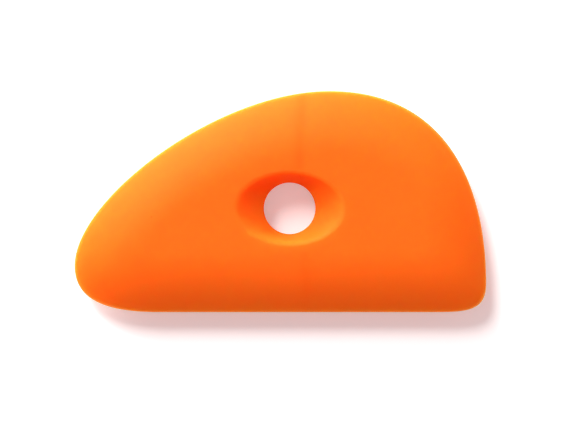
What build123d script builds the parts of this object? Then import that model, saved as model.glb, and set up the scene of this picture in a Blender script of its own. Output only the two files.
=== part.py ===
from build123d import *
import os
from math import atan, cos, pi, sin

# A potter's rib: a palm-sized tool of soft silicone rubber for shaping and smoothing wet clay.
# It is one solid moulding. Seen from above it has a straight edge, a small rounded tip, a long
# shallow curve rising to a crest, and a full round heel that turns back to the straight edge.
# Both faces are crowned: a flat in the middle and a curved slope down to a thin working rim.
# A round hole goes through it, with an oval dish on each face that a fingertip presses into.
#
# X runs along the straight edge from the tip to the heel, Y from the straight edge to the crest,
# and Z up through the thickness. The rib lies on the flat of its lower face, and the origin is
# there, under the middle of its length and width. Sizes are in millimetres.

# Overall size
length = 73.7
width = 39.6
thickness = 9.5

# Round of the working rim, which lies halfway up the thickness
rim_radius = 1.1
rim_slices = 4

# Nodes of the rim's outline, measured from the tip end, the heel end or the straight edge
tip_run = 15.0
tip_rise = 8.3
crest_run = 45.6
heel_run = 9.1
heel_rise = 5.1

# Crown: the curved slope between the rim and the flat of each face
crown_width = 11.0
crown_tip_width = 13.6
crown_slices = 6

# Nodes of the flat's outline, measured from the flat's own tip end, heel end and straight side
flat_tip_run = 4.9
flat_tip_rise = 2.0
flat_heel_run = 3.7
flat_heel_rise = 3.0

# Hole through the rib
hole_run = 38.5
hole_rise = 18.6
hole_diameter = 9.2
hole_wall = 1.6
hole_lip = 0.3

# Dish round the hole on each face
dish_length = 18.9
dish_width = 12.4
dish_lip = 1.5

# How far each curve's two handles reach towards its corner of the bounding rectangle:
# straight edge to tip, tip to crest, crest to heel, heel to straight edge
rim_handle_shares = ((0.61, 0.75), (0.38, 0.44), (0.76, 0.50), (0.95, 0.64))
flat_handle_shares = ((0.60, 0.60), (0.20, 0.45), (0.63, 0.52), (0.60, 0.60))

# Places worked out from the sizes
left, right = -length / 2, length / 2
front, back = -width / 2, width / 2
crest_x = left + crest_run
middle = thickness / 2
hole_place = (left + hole_run, front + hole_rise)

# Each slope's section is two arcs: the round of the rim, upright at the middle, and the crown,
# level where it meets the flat. They run into each other where both lean at the joint slope.
joint_slope = 2 * atan((middle - rim_radius) / (crown_width - rim_radius))
crown_radius = rim_radius + (crown_width - rim_radius) / sin(joint_slope)

# How many times its own depth a dish reaches if its walls are drawn on to the middle
drawn_on = thickness / (thickness - hole_wall)


def outline_curves(low, high, start_x, tip_y, heel_y, end_x, handle_shares):
    """Control points of the four curves that fill the corners of the box from low to high.

    Each curve runs between two nodes, and its handles reach along the sides of the box towards
    the corner between them, so that it meets its neighbours and the straight edge smoothly.
    """
    start, tip = Vector(start_x, low.Y), Vector(low.X, tip_y)
    crest, heel = Vector(crest_x, high.Y), Vector(high.X, heel_y)
    end = Vector(end_x, low.Y)
    corners = (low, Vector(low.X, high.Y), high, Vector(high.X, low.Y))
    curves = []
    for corner, a, b, shares in zip(
        corners, (start, tip, crest, heel), (tip, crest, heel, end), handle_shares
    ):
        curves.append((a, a + (corner - a) * shares[0], b + (corner - b) * shares[1], b))
    return curves


rim_curves = outline_curves(
    low=Vector(left, front),
    high=Vector(right, back),
    start_x=left + tip_run,
    tip_y=front + tip_rise,
    heel_y=front + heel_rise,
    end_x=right - heel_run,
    handle_shares=rim_handle_shares,
)

flat_left, flat_right = left + crown_tip_width, right - crown_width
flat_front, flat_back = front + crown_width, back - crown_width
flat_curves = outline_curves(
    low=Vector(flat_left, flat_front),
    high=Vector(flat_right, flat_back),
    start_x=flat_left + flat_tip_run,
    tip_y=flat_front + flat_tip_rise,
    heel_y=flat_front + flat_heel_rise,
    end_x=flat_right - flat_heel_run,
    handle_shares=flat_handle_shares,
)


def outline(inset, height):
    """The outline at a height, the share inset of the way in from the rim to the flat.

    Its four curves and its straight edge stay separate, so that each makes its own face.
    """
    lift = Vector(0, 0, height)
    edges = []
    for rim_curve, flat_curve in zip(rim_curves, flat_curves):
        points = [p + (q - p) * inset + lift for p, q in zip(rim_curve, flat_curve)]
        edges.append(Edge.make_bezier(*points))
    edges.append(Edge.make_line(edges[-1] @ 1, edges[0] @ 0))
    return Face(Wire(edges))


with BuildPart() as crowned_half:
    # Two skins over slices taken at even steps of slope: round the rim, and up the crown.
    # They share the slice at the joint slope, and the last slice is the flat's own outline.
    rim_round = []
    for step in range(rim_slices + 1):
        slope = pi / 2 + (joint_slope - pi / 2) * step / rim_slices
        inset = rim_radius * (1 - sin(slope)) / crown_width
        rim_round.append(outline(inset, middle + rim_radius * cos(slope)))
    crown = []
    for step in range(crown_slices + 1):
        slope = joint_slope * (1 - step / crown_slices)
        inset = 1 - crown_radius * sin(slope) / crown_width
        crown.append(outline(inset, thickness - crown_radius * (1 - cos(slope))))
    loft(rim_round)
    loft(crown)

with BuildPart() as rib:
    # The dish is sunk into a slab that is larger than the rib all round, so that its mouth and
    # its lip are whole wherever it lies, and the crowned half then trims the slab.
    with BuildSketch(Plane.XY.offset(middle)):
        Rectangle(2 * length, 2 * width)
    extrude(amount=thickness - middle)

    # Upper dish: straight walls from its oval mouth in the flat down to the wall of the hole.
    # They are drawn on to the middle, where the hole takes away what is left of them.
    with BuildSketch(Plane.XY.offset(thickness)):
        with Locations(hole_place):
            Ellipse(dish_length / 2, dish_width / 2)
    with BuildSketch(Plane.XY.offset(middle)):
        with Locations(hole_place):
            Ellipse(
                dish_length / 2 - (dish_length - hole_diameter) / 2 * drawn_on,
                dish_width / 2 - (dish_width - hole_diameter) / 2 * drawn_on,
            )
    loft(mode=Mode.SUBTRACT)
    mouth = rib.faces().sort_by(Axis.Z)[-1].inner_wires().edges()
    fillet(mouth, dish_lip)
    add(crowned_half.part, mode=Mode.INTERSECT)

    # Lower half, and the hole through both
    mirror(about=Plane.XY.offset(middle))
    with Locations(hole_place):
        Hole(radius=hole_diameter / 2)
    hole_sides = rib.faces(Select.LAST).filter_by(GeomType.CYLINDER)
    fillet(hole_sides.edges().filter_by(GeomType.LINE, reverse=True), hole_lip)

rib.part.label = "rib_body"
os.makedirs("parts", exist_ok=True)
export_step(rib.part, "parts/rib_body.step")
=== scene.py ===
# %% [markdown]
# A silicone pottery rib
#
# A potter holds this palm-sized tool against turning clay to shape and smooth it. It is one
# moulding of soft orange silicone: two crowned faces that fall to a thin working rim, with a
# hole through the middle and an oval dish round it on each face for a fingertip. It has no
# joints and no second material, so the whole lesson is about one surface and one finish. The
# surface has to carry its light from a flat through soft slopes to an edge that glows, and the
# finish has to look like a rubber that light goes into, not like painted plastic.

import bpy
import numpy as np
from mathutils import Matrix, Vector


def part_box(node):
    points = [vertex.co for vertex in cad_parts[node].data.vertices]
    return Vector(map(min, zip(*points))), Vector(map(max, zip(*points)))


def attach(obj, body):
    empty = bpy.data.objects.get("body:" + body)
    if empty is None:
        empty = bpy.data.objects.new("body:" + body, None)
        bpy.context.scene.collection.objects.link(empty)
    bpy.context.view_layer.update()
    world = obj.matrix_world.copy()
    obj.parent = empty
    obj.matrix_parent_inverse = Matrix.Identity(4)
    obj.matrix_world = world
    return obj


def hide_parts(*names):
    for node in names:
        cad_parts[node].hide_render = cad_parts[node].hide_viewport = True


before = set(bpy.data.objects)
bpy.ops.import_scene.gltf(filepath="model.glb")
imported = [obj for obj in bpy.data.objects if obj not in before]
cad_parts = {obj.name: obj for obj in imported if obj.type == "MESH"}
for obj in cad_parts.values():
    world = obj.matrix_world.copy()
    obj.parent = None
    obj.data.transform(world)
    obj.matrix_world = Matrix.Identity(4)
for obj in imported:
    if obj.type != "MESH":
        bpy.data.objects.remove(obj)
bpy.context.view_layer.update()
low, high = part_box("rib_body")
mm = 0.001
length, width, thickness = high - low
middle = (low.z + high.z) / 2
print("rib in the frame, mm:", [round(side / mm, 2) for side in (length, width, thickness)])

# %% [markdown]
# The sizes of the rib
#
# The frame gives the overall box, and these are the sizes inside it, in metres. The outline is
# four curves and a straight edge between five nodes. Each node lies on a side of the bounding
# rectangle, so a node needs one number, and each curve's handles reach along the sides towards
# the corner between its two nodes. That is how a pattern maker would set out a French curve:
# it stays smooth at every node, and there is no table of traced points to keep.

# %% Sizes of the rim, the crown, the hole and the dish
rim_radius = 1.1 * mm
tip_run, tip_rise = 15.0 * mm, 8.3 * mm
crest_run = 45.6 * mm
heel_run, heel_rise = 9.1 * mm, 5.1 * mm
rim_handle_shares = ((0.61, 0.75), (0.38, 0.44), (0.76, 0.50), (0.95, 0.64))

crown_width, crown_tip_width = 11.0 * mm, 13.6 * mm
flat_tip_run, flat_tip_rise = 4.9 * mm, 2.0 * mm
flat_heel_run, flat_heel_rise = 3.7 * mm, 3.0 * mm
flat_handle_shares = ((0.60, 0.60), (0.20, 0.45), (0.63, 0.52), (0.60, 0.60))

hole_centre = np.array([low.x + 38.5 * mm, low.y + 18.6 * mm])
hole_radius = 4.6 * mm
hole_wall = 1.6 * mm
hole_lip_reach = 0.1 * mm
dish_half_length, dish_half_width = 9.45 * mm, 6.2 * mm
dish_lip_reach = 0.65 * mm

# %% [markdown]
# The outline as arrays
#
# A cubic curve is a weighted average of its four control points, so all its points come from
# one matrix product. The rim has an outline and the flat on top has a smaller one, with the
# same five pieces in the same order, and a line between points with the same share of the same
# piece runs straight down the slope. Those lines are the columns of the whole surface.

# %% Curves of the rim and of the flat
def curve_points(controls, share):
    """Points of a cubic curve: the four control points, averaged with the weights
    (1-s)^3, 3s(1-s)^2, 3s^2(1-s) and s^3 at each share s of the way."""
    weights = np.stack(
        [(1 - share) ** 3, 3 * share * (1 - share) ** 2, 3 * share**2 * (1 - share), share**3],
        axis=1,
    )
    return weights @ np.array(controls)


def outline(box_low, box_high, start_x, tip_y, crest_x, heel_y, end_x, handle_shares, share):
    """Points round a box: four cubic curves from node to node, whose handles reach towards
    the box's corners, and the straight edge back to the start. The result has one row of
    points for each of the five pieces."""
    (x0, y0), (x1, y1) = box_low, box_high
    nodes = np.array([(start_x, y0), (x0, tip_y), (crest_x, y1), (x1, heel_y), (end_x, y0)])
    corners = np.array([(x0, y0), (x0, y1), (x1, y1), (x1, y0)])
    pieces = []
    for corner, a, b, (reach_a, reach_b) in zip(corners, nodes[:-1], nodes[1:], handle_shares):
        pieces.append(
            curve_points((a, a + (corner - a) * reach_a, b + (corner - b) * reach_b, b), share)
        )
    pieces.append(nodes[-1] + (nodes[0] - nodes[-1]) * share[:, None])
    return np.array(pieces)


fine_share = np.linspace(0, 1, 3000, endpoint=False)
crest_x = low.x + crest_run
rim_fine = outline(
    (low.x, low.y), (high.x, high.y),
    low.x + tip_run, low.y + tip_rise, crest_x, low.y + heel_rise, high.x - heel_run,
    rim_handle_shares, fine_share,
).reshape(-1, 2)
flat_low = (low.x + crown_tip_width, low.y + crown_width)
flat_high = (high.x - crown_width, high.y - crown_width)
flat_fine = outline(
    flat_low, flat_high,
    flat_low[0] + flat_tip_run, flat_low[1] + flat_tip_rise, crest_x,
    flat_low[1] + flat_heel_rise, flat_high[0] - flat_heel_run,
    flat_handle_shares, fine_share,
).reshape(-1, 2)

# %% [markdown]
# Where the two streams of rubber met
#
# Liquid rubber fills the mould from both ends, and the two streams meet beside the core that
# makes the hole. They leave a faint shallow furrow from the dish to the rim on either side of
# it. Each furrow is under two millimetres wide, so the columns have to be closer together there
# than the half millimetre that does elsewhere. Spacing them by a weighted length does both:
# each stretch of the rim counts for more the nearer it is to the line, and the columns are set
# at even steps of that count.

# %% Columns of the surface
flow_line_back = np.array([[3.3, 5.6], [3.95, 19.8]]) * mm
flow_line_front = np.array([[4.4, -9.5], [4.85, -19.8]]) * mm
columns = 440
close_reach = 2.2 * mm
close_weight = 1.6


def across_line(line, points):
    """Distance in X from a line through two points, at each point's own Y."""
    (x0, y0), (x1, y1) = line
    return points[..., 0] - (x0 + (points[..., 1] - y0) * (x1 - x0) / (y1 - y0))


def bell(distance, reach):
    """A bell curve: e to the power of minus the square of the distance over the reach."""
    return np.exp(-((distance / reach) ** 2))


step = np.linalg.norm(np.roll(rim_fine, -1, axis=0) - rim_fine, axis=1)
nearest = np.where(
    rim_fine[:, 1] > 0, across_line(flow_line_back, rim_fine), across_line(flow_line_front, rim_fine)
)
counted = step * (1 + close_weight * bell(nearest, close_reach))
walked = np.concatenate([[0], np.cumsum(counted)])
stops = np.linspace(0, walked[-1], columns, endpoint=False)
rim = np.stack([np.interp(stops, walked[:-1], rim_fine[:, i]) for i in (0, 1)], axis=1)
flat = np.stack([np.interp(stops, walked[:-1], flat_fine[:, i]) for i in (0, 1)], axis=1)
gaps = np.linalg.norm(np.roll(rim, -1, axis=0) - rim, axis=1)
print("columns:", columns, "apart, mm:", round(gaps.min() / mm, 2), "to", round(gaps.max() / mm, 2))

# %% [markdown]
# Down one column
#
# A column starts at the rim, climbs the slope, crosses the flat, rolls over the mouth of the
# dish, runs down the dish's side, rounds the lip of the hole and ends on the hole's short
# straight wall, halfway through the rib. The two lips are arcs of circles that touch both of
# their neighbours. The lip of the dish is as wide at its steep sides as at its gentle ends, as
# a lip is that was stoned by hand on the mould. The slope is two arcs as well, a tight one round
# the rim and a wide one up the crown, which lean alike where they meet.

# %% Arcs for the lips and the slope
def blend_of(a, b, share):
    """Unit vectors that turn evenly from the unit vectors a to b, by the sines of the shares
    of the angle between them. The result has one layer for each share."""
    angle = np.arccos(np.clip((a * b).sum(axis=1), -1, 1))[None, :, None]
    share = share[:, None, None]
    return (np.sin((1 - share) * angle) * a + np.sin(share * angle) * b) / np.sin(angle)


def lip(corner, normal_a, normal_b, reach, share):
    """A rounded corner that starts and ends at the reach from the corner. Its radius is the
    reach over the tangent of half the angle between the surfaces, its centre lies that radius
    inside both, and the arc is the centre plus the radius times each direction between the
    normals."""
    facing = (normal_a * normal_b).sum(axis=1, keepdims=True)
    radius = reach * np.sqrt((1 + facing) / (1 - facing))
    centre = corner - radius * (normal_a + normal_b) / (1 + facing)
    return centre + radius * blend_of(normal_a, normal_b, share)


def unit(vectors):
    """The vectors divided by their lengths."""
    return vectors / np.linalg.norm(vectors, axis=-1, keepdims=True)


def at_height(points, z):
    """Points of the plan, lifted to a height."""
    return np.column_stack([points, np.full(len(points), z)])


joint_slope = 2 * np.arctan((thickness / 2 - rim_radius) / (crown_width - rim_radius))
crown_radius = rim_radius + (crown_width - rim_radius) / np.sin(joint_slope)

# %% Rows of the hole and its dish
bearing = np.arctan2(flat[:, 1] - hole_centre[1], flat[:, 0] - hole_centre[0])
turn = np.arctan2(np.sin(bearing) * dish_half_length, np.cos(bearing) * dish_half_width)
cosine, sine, level = np.cos(turn), np.sin(turn), np.zeros(columns)
mouth_z, wall_z = high.z, middle + hole_wall / 2
mouth = at_height(
    hole_centre + np.column_stack([dish_half_length * cosine, dish_half_width * sine]), mouth_z
)
foot = at_height(hole_centre + hole_radius * np.column_stack([cosine, sine]), wall_z)
side_up = mouth - foot
mouth_normal = unit(
    np.cross(side_up, np.column_stack([-dish_half_length * sine, dish_half_width * cosine, level]))
)
foot_normal = unit(np.cross(side_up, np.column_stack([-sine, cosine, level])))
hole_normal = np.column_stack([-cosine, -sine, level])
up = np.tile([0.0, 0.0, 1.0], (columns, 1))
print("dish sides lean inwards and up:", bool((mouth_normal[:, 2] > 0).all()))

mouth_count, side_count, foot_count, wall_count = 13, 18, 6, 4
mouth_arc = lip(mouth, up, mouth_normal, dish_lip_reach, np.linspace(0, 1, mouth_count))
foot_arc = lip(foot, foot_normal, hole_normal, hole_lip_reach, np.linspace(0, 1, foot_count))
side_share = np.linspace(0, 1, side_count)[1:-1, None, None]
side = mouth_arc[-1] + (foot_arc[0] - mouth_arc[-1]) * side_share
wall_share = np.linspace(0, 1, wall_count)[1:, None, None]
wall_foot = foot_arc[-1] * [1, 1, 0] + [0, 0, middle]
wall = foot_arc[-1] + (wall_foot - foot_arc[-1]) * wall_share

# %% [markdown]
# The parting line round the rim
#
# The mould opens in two halves that part along the rim, and the rubber creeps a few hundredths
# of a millimetre into the joint. What is left is a fine ridge that a fingertip can feel. The
# ridge's top keeps the rim's own outline, and everything beside it steps back by the ridge's
# height, so that the ridge adds nothing to the size of the rib. The first rows above the middle
# are only hundredths of a millimetre apart to carry it.

# %% Rows of the flat and the slope
parting_ridge = 0.05 * mm
parting_reach = 0.11 * mm
rim_count, crown_count, flat_count = 16, 27, 20
middle_crowding = 1.9


def slope_rows(slopes, inset, height):
    """Rows of a slope: from the rim's outline the share inset of the way to the flat's. Beside
    the parting line they step back by the ridge's height, times the square of the sine of the
    slope, times one minus a bell curve of the height above the middle."""
    beside = 1 - bell(height - middle, parting_reach)
    inset = inset + parting_ridge / crown_width * np.sin(slopes) ** 2 * beside
    plan = rim + (flat - rim) * inset[:, None, None]
    z = np.broadcast_to(height[:, None, None], (len(slopes), columns, 1))
    return np.concatenate([plan, z], axis=2), inset


rim_share = np.linspace(0, 1, rim_count) ** middle_crowding
rim_slopes = np.pi / 2 - (np.pi / 2 - joint_slope) * rim_share
rim_rows, rim_inset = slope_rows(
    rim_slopes,
    rim_radius * (1 - np.sin(rim_slopes)) / crown_width,
    middle + rim_radius * np.cos(rim_slopes),
)
crown_slopes = joint_slope * (1 - np.linspace(0, 1, crown_count)[1:])
crown_rows, crown_inset = slope_rows(
    crown_slopes,
    1 - crown_radius * np.sin(crown_slopes) / crown_width,
    high.z - crown_radius * (1 - np.cos(crown_slopes)),
)
flat_share = (1 - np.cos(np.pi * np.linspace(0, 1, flat_count)[1:-1, None, None])) / 2
flat_edge = at_height(flat, high.z)
flat_rows = flat_edge + (mouth_arc[0] - flat_edge) * flat_share

# %% [markdown]
# One closed skin
#
# Rim to hole is the upper half. The furrows are pressed into it, deepest on the flat and fading
# out towards the rim and the dish. The lower half is the same rows turned upside down, in the
# other order, without the two rows that both halves share. The rows then close on themselves
# through the hole, and the columns close round the outline, so the mesh is a ring without a
# seam or a pole. Its signed volume shows that the faces look outwards.

# %% Join the rows into a skin
flow_depth = 0.03 * mm
flow_reach_left, flow_reach_right = 1.09 * mm, 0.85 * mm


def smooth_step(value, start, end):
    """Nought before the start, one after the end, and 3s^2 - 2s^3 of the share s between."""
    share = np.clip((value - start) / (end - start), 0, 1)
    return share * share * (3 - 2 * share)


def furrow(line, points):
    """Depth of a furrow, from nought to one: a bell curve of the distance from its line, with
    a reach of its own on each side."""
    away = across_line(line, points)
    return bell(away, np.where(away < 0, flow_reach_left, flow_reach_right))


upper = np.concatenate([rim_rows, crown_rows, flat_rows, mouth_arc, side, foot_arc, wall])
height_share = smooth_step(upper[..., 2], middle + 1.0 * mm, high.z)
back = furrow(flow_line_back, upper) * smooth_step(upper[..., 1], 4.6 * mm, 6.4 * mm)
front = furrow(flow_line_front, upper) * smooth_step(-upper[..., 1], 8.2 * mm, 10.0 * mm)
upper[..., 2] -= flow_depth * height_share * (back + 0.5 * front)

lower = upper[-2:0:-1].copy()
lower[..., 2] = 2 * middle - lower[..., 2]
skin = np.concatenate([upper, lower])

slope_inset = np.concatenate([rim_inset, crown_inset])
upper_inset = np.concatenate([slope_inset, np.full(len(upper) - len(slope_inset), 2.0)])
skin_inset = np.concatenate([upper_inset, upper_inset[-2:0:-1]])
from_rim = np.broadcast_to((skin_inset * crown_width / mm)[:, None], skin.shape[:2])


def ring_mesh(name, grid):
    """A closed ring of four-sided faces from a grid of points, rows by columns, that wraps
    round in both directions. The volume is a sixth of the sum of each triangle's corners,
    multiplied together as a triple product."""
    rows, across, _ = grid.shape
    index = np.arange(rows * across).reshape(rows, across)
    next_row, next_column = np.roll(index, -1, axis=0), np.roll(index, -1, axis=1)
    corner = np.roll(next_row, -1, axis=1)
    faces = np.stack([index, next_row, corner, next_column], axis=-1).reshape(-1, 4)
    mesh = bpy.data.meshes.new(name)
    mesh.vertices.add(rows * across)
    mesh.vertices.foreach_set("co", grid.astype(np.float32).ravel())
    mesh.loops.add(faces.size)
    mesh.loops.foreach_set("vertex_index", faces.ravel().astype(np.int32))
    mesh.polygons.add(len(faces))
    mesh.polygons.foreach_set("loop_start", np.arange(0, faces.size, 4, dtype=np.int32))
    mesh.polygons.foreach_set("use_smooth", np.ones(len(faces), dtype=bool))
    mesh.update(calc_edges=True)
    a, b, c, d = (grid.reshape(-1, 3)[faces[:, i]] for i in range(4))
    volume = ((a * np.cross(b, c)).sum() + (a * np.cross(c, d)).sum()) / 6
    return mesh, volume


body_mesh, volume = ring_mesh("silicone_rib", skin)
distance = body_mesh.attributes.new("from_rim", "FLOAT", "POINT")
distance.data.foreach_set("value", from_rim.astype(np.float32).ravel())
rib = bpy.data.objects.new("silicone_rib", body_mesh)
bpy.context.scene.collection.objects.link(rib)
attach(rib, "root")
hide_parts("rib_body")
print("skin rows:", len(skin), "triangles:", 2 * len(body_mesh.polygons))
print("skin volume, ml:", round(volume / (10 * mm) ** 3, 3))

# %% [markdown]
# Formulas for the finish
#
# A finish is a formula over places on the surface, and a formula is easier to read as a line of
# text than as a picture of boxes. A small class stands for a number in a node tree: its signs
# make the maths nodes. Every other node comes from one method.

# %% Node helpers
class Number:
    """A number in a node tree. Its signs build maths nodes, so a formula reads as on paper."""

    def __init__(self, tree, socket):
        self.tree, self.socket = tree, socket

    def maths(self, operation, *values):
        node = self.tree.node("ShaderNodeMath", {"operation": operation}, dict(enumerate(values)))
        return Number(self.tree, node.outputs[0])

    def __add__(self, other):
        return self.maths("ADD", self, other)

    def __sub__(self, other):
        return self.maths("SUBTRACT", self, other)

    def __rsub__(self, other):
        return self.maths("SUBTRACT", other, self)

    def __mul__(self, other):
        return self.maths("MULTIPLY", self, other)

    def __truediv__(self, other):
        return self.maths("DIVIDE", self, other)

    __radd__, __rmul__ = __add__, __mul__

    def above(self, limit):
        """One where the number is above the limit, and nought elsewhere."""
        return self.maths("GREATER_THAN", self, limit)

    def bell(self, reach):
        """The bell curve of the number, with a reach that may itself be a number."""
        share = self / reach
        return self.maths("EXPONENT", share * share * -1)

    def wave(self, pitch):
        """A sine that rises and falls once in each pitch, between minus one and one."""
        return self.maths("SINE", self * (2 * np.pi / pitch))

    def ramp(self, start, end):
        """Nought at the start and one at the end, eased at both."""
        ends = {"Value": self, "From Min": start, "From Max": end}
        node = self.tree.node("ShaderNodeMapRange", {"interpolation_type": "SMOOTHSTEP"}, ends)
        return Number(self.tree, node.outputs[0])


class Tree:
    """The nodes of a material or a world."""

    def __init__(self, owner):
        owner.use_nodes = True
        self.nodes, self.links = owner.node_tree.nodes, owner.node_tree.links
        self.nodes.clear()

    def node(self, kind, settings=None, inputs=None):
        """Add a node: its settings first, and then a value or a link for each input."""
        made = self.nodes.new(kind)
        for name, value in (settings or {}).items():
            setattr(made, name, value)
        for name, value in (inputs or {}).items():
            value = value.socket if isinstance(value, Number) else value
            if isinstance(value, bpy.types.NodeSocket):
                self.links.new(value, made.inputs[name])
            else:
                made.inputs[name].default_value = value
        return made

    def noise(self, place, scale, detail=2.0, roughness=0.5):
        """Cloudy noise around nought, between about minus a half and a half."""
        inputs = {"Vector": place, "Scale": scale, "Detail": detail, "Roughness": roughness}
        return Number(self, self.node("ShaderNodeTexNoise", None, inputs).outputs[0]) - 0.5

    def blend(self, share, a, b):
        """A colour the share of the way from a to b."""
        inputs = {0: share, 6: a, 7: b}
        return self.node("ShaderNodeMix", {"data_type": "RGBA"}, inputs).outputs[2]


# %% [markdown]
# A silicone finish
#
# Silicone rubber is clear by itself, and its colour is a pigment stirred into it. Light goes
# several millimetres in before it comes out, red further than green and green further than blue.
# That is why the thin rim is paler and yellower than the flat, and why the walls of the dish
# and the shaded slope stay a glowing red. The random walk method follows that light inside the
# real shape, so the glow needs no paint.
#
# On top of that come the marks of making and handling, all of them faint on a new tool:
# - pigment that is not quite evenly stirred, as soft clouds and a few dark specks;
# - the two flow lines, where the surface is lower and the colour is darkened as painted shade along each
#   furrow;
# - the fine tooth that the blasted mould leaves, and the traces of the cutter round the outline;
# - a small raised nick on the far wall of the upper dish and one dark dot left of it, as on this rib;
# - a rim that is rubbed smoother in patches than the rest.

# %% Places on the rib, in millimetres
silicone = bpy.data.materials.new("soft_orange_silicone")
t = Tree(silicone)
in_metres = t.node("ShaderNodeTexCoord").outputs["Object"]
place = t.node("ShaderNodeVectorMath", {"operation": "SCALE"}, {0: in_metres, "Scale": 1 / mm}).outputs[0]
x, y, z = (Number(t, socket) for socket in t.node("ShaderNodeSeparateXYZ", None, {0: place}).outputs)
rim_away = Number(t, t.node("ShaderNodeAttribute", {"attribute_name": "from_rim"}).outputs["Fac"])


def furrow_shade_mask(line):
    """How strongly a place takes the painted shade of a flow line's furrow: a bell curve of the distance
    in X from the line.
    """
    (x0, y0), (x1, y1) = (line / mm).tolist()
    away = x - (x0 + (y - y0) * ((x1 - x0) / (y1 - y0)))
    left, right = flow_reach_left / mm, flow_reach_right / mm
    return away.bell(left + (right - left) * away.above(0))


# %% Marks of making and handling, and painted shade along the flow lines
# Painted shade: the colour darkens along the two flow-line furrows, standing in for the shade that falls
# in them.
painted_shade_back_furrow = furrow_shade_mask(flow_line_back) * y.ramp(4.9, 6.0)
painted_shade_front_furrow = furrow_shade_mask(flow_line_front) * (-1 * y).ramp(8.4, 9.6)
painted_furrow_shade = painted_shade_back_furrow + 0.5 * painted_shade_front_furrow
clouds = t.noise(place, 0.16, 3, 0.55) + 0.5 * t.noise(place, 0.9, 2)
cell_size = 4
speck_cell = t.node("ShaderNodeTexVoronoi", None, {"Vector": place, "Scale": 1 / cell_size})
specks = (Number(t, speck_cell.outputs["Distance"]) * cell_size).ramp(0.13, 0.07)
upper_face = z.above(middle / mm)
nick_x, nick_y, nick_reach_x, nick_reach_y = 3.49, 4.36, 0.16, 0.42
nick = (x - nick_x).bell(nick_reach_x) * (y - nick_y).bell(nick_reach_y) * upper_face
dot_x, dot_y, dot_reach = -22.84, -2.75, 0.12
dot = (x - dot_x).bell(dot_reach) * (y - dot_y).bell(dot_reach) * upper_face
rubbed = rim_away.ramp(3.0, 0.4) * t.noise(place, 0.55, 3, 0.6).ramp(0.0, 0.16)
tooth = t.noise(place, 3.2, 4, 0.6)
cutter = rim_away.wave(0.55)

# %% Colour, roughness and surface
deep_colour, pale_colour = (0.99, 0.141, 0.0049, 1), (1.0, 0.225, 0.0157, 1)
# The flow-line term is painted shade in the furrows; the clouds, specks, rubbed rim and dot are the
# rubber's own colour.
tone = 0.37 + 0.1 * clouds - 0.21 * painted_furrow_shade - 0.35 * specks + 0.03 * rubbed - 0.8 * dot
height = 0.0018 * tooth * (1 - 0.6 * rubbed) + 0.0004 * cutter + 0.15 * nick
surface = t.node("ShaderNodeBump", None, {"Height": height, "Distance": mm}).outputs[0]
shader = t.node(
    "ShaderNodeBsdfPrincipled",
    {"subsurface_method": "RANDOM_WALK"},
    {
        "Base Color": t.blend(tone, deep_colour, pale_colour),
        "Roughness": 0.6 + 0.08 * clouds - 0.1 * rubbed,
        "Normal": surface,
        "IOR": 1.41,
        "Specular IOR Level": 0.1,
        "Subsurface Weight": 1.0,
        "Subsurface Radius": (1.7, 0.73, 0.53),
        "Subsurface Scale": 8 * mm,
    },
)
t.node("ShaderNodeOutputMaterial", None, {"Surface": shader.outputs[0]})
rib.data.materials.append(silicone)

# %% [markdown]
# The table and the light
#
# The rib lies on white paper under soft, slightly warm light. Two lamps stand behind it and to
# the left: a small high one that draws the shadow, and a wide low one that makes the far rim
# bright and leaves the near slope deep. The room fills in the rest.
# To the camera the paper is a little cooler than the light and glows faintly, so that the
# shadow is light and the paper round it stays white without more light on the rubber.

# %% Paper
scene = bpy.context.scene
scene.view_settings.view_transform = "Standard"

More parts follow.
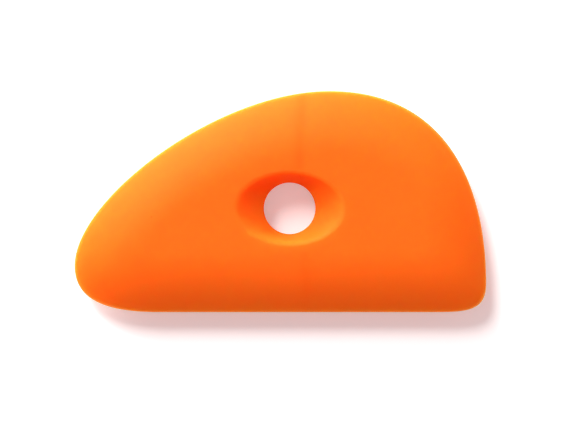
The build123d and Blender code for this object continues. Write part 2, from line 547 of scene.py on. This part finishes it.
floor_half, floor_gap = 400 * mm, 0.02 * mm
corners = [(-1, -1), (1, -1), (1, 1), (-1, 1)]
floor_points = [(x_side * floor_half, y_side * floor_half, -floor_gap) for x_side, y_side in corners]
floor_mesh = bpy.data.meshes.new("paper")
floor_mesh.from_pydata(floor_points, [], [(0, 1, 2, 3)])
floor = bpy.data.objects.new("paper", floor_mesh)
scene.collection.objects.link(floor)
paper = bpy.data.materials.new("white_paper")
t = Tree(paper)
camera_ray = t.node("ShaderNodeLightPath").outputs["Is Camera Ray"]
paper_colour, seen_colour = (0.95, 0.95, 0.95, 1), (0.78, 0.92, 0.92, 1)
paper_glow = 0.3
shown_colour = t.blend(camera_ray, paper_colour, seen_colour)
diffuse = t.node("ShaderNodeBsdfDiffuse", None, {"Color": shown_colour})
glow = t.node("ShaderNodeEmission", None, {"Strength": paper_glow * Number(t, camera_ray)})
both = t.node("ShaderNodeAddShader", None, {0: diffuse.outputs[0], 1: glow.outputs[0]})
t.node("ShaderNodeOutputMaterial", None, {"Surface": both.outputs[0]})
floor.data.materials.append(paper)

# %% Room and lamps
room_colour = (0.52, 0.29, 0.29, 1)
world = bpy.data.worlds.new("warm_room")
scene.world = world
t = Tree(world)
camera_ray = t.node("ShaderNodeLightPath").outputs["Is Camera Ray"]
fill = t.node("ShaderNodeBackground", None, {"Color": room_colour, "Strength": 1.0})
white = t.node("ShaderNodeBackground", None, {"Color": (1, 1, 1, 1), "Strength": 1.0})
pick = t.node("ShaderNodeMixShader", None, {0: camera_ray, 1: fill.outputs[0], 2: white.outputs[0]})
t.node("ShaderNodeOutputWorld", None, {"Surface": pick.outputs[0]})


warm_white = (1.0, 0.9, 0.9)
lamp_distance = 800 * mm


def soft_lamp(name, bearing, elevation, size, energy):
    """An area lamp that looks at the origin from a bearing and an elevation in degrees."""
    turn, lift = np.radians(bearing), np.radians(elevation)
    away = Vector((np.cos(turn) * np.cos(lift), np.sin(turn) * np.cos(lift), np.sin(lift)))
    lamp = bpy.data.lights.new(name, "AREA")
    lamp.shape = "ELLIPSE"
    lamp.size, lamp.size_y = size
    lamp.energy = energy
    lamp.color = warm_white
    holder = bpy.data.objects.new(name, lamp)
    holder.location = away * lamp_distance
    holder.rotation_euler = away.to_track_quat("Z", "Y").to_euler()
    scene.collection.objects.link(holder)


soft_lamp("high_lamp", 118, 49.5, (300 * mm, 300 * mm), 5.2)
soft_lamp("low_lamp", 120, 18, (700 * mm, 500 * mm), 10.4)

# %% Camera
view_centre = Vector((1.45 * mm, -3.29 * mm, middle))
frame_width = 103.29 * mm
camera_data = bpy.data.cameras.new("camera")
camera_data.lens = 150
camera_data.clip_start = 10 * mm
camera = bpy.data.objects.new("camera", camera_data)
camera.location = view_centre + Vector((0, 0, frame_width * camera_data.lens / camera_data.sensor_width))
scene.collection.objects.link(camera)
scene.camera = camera
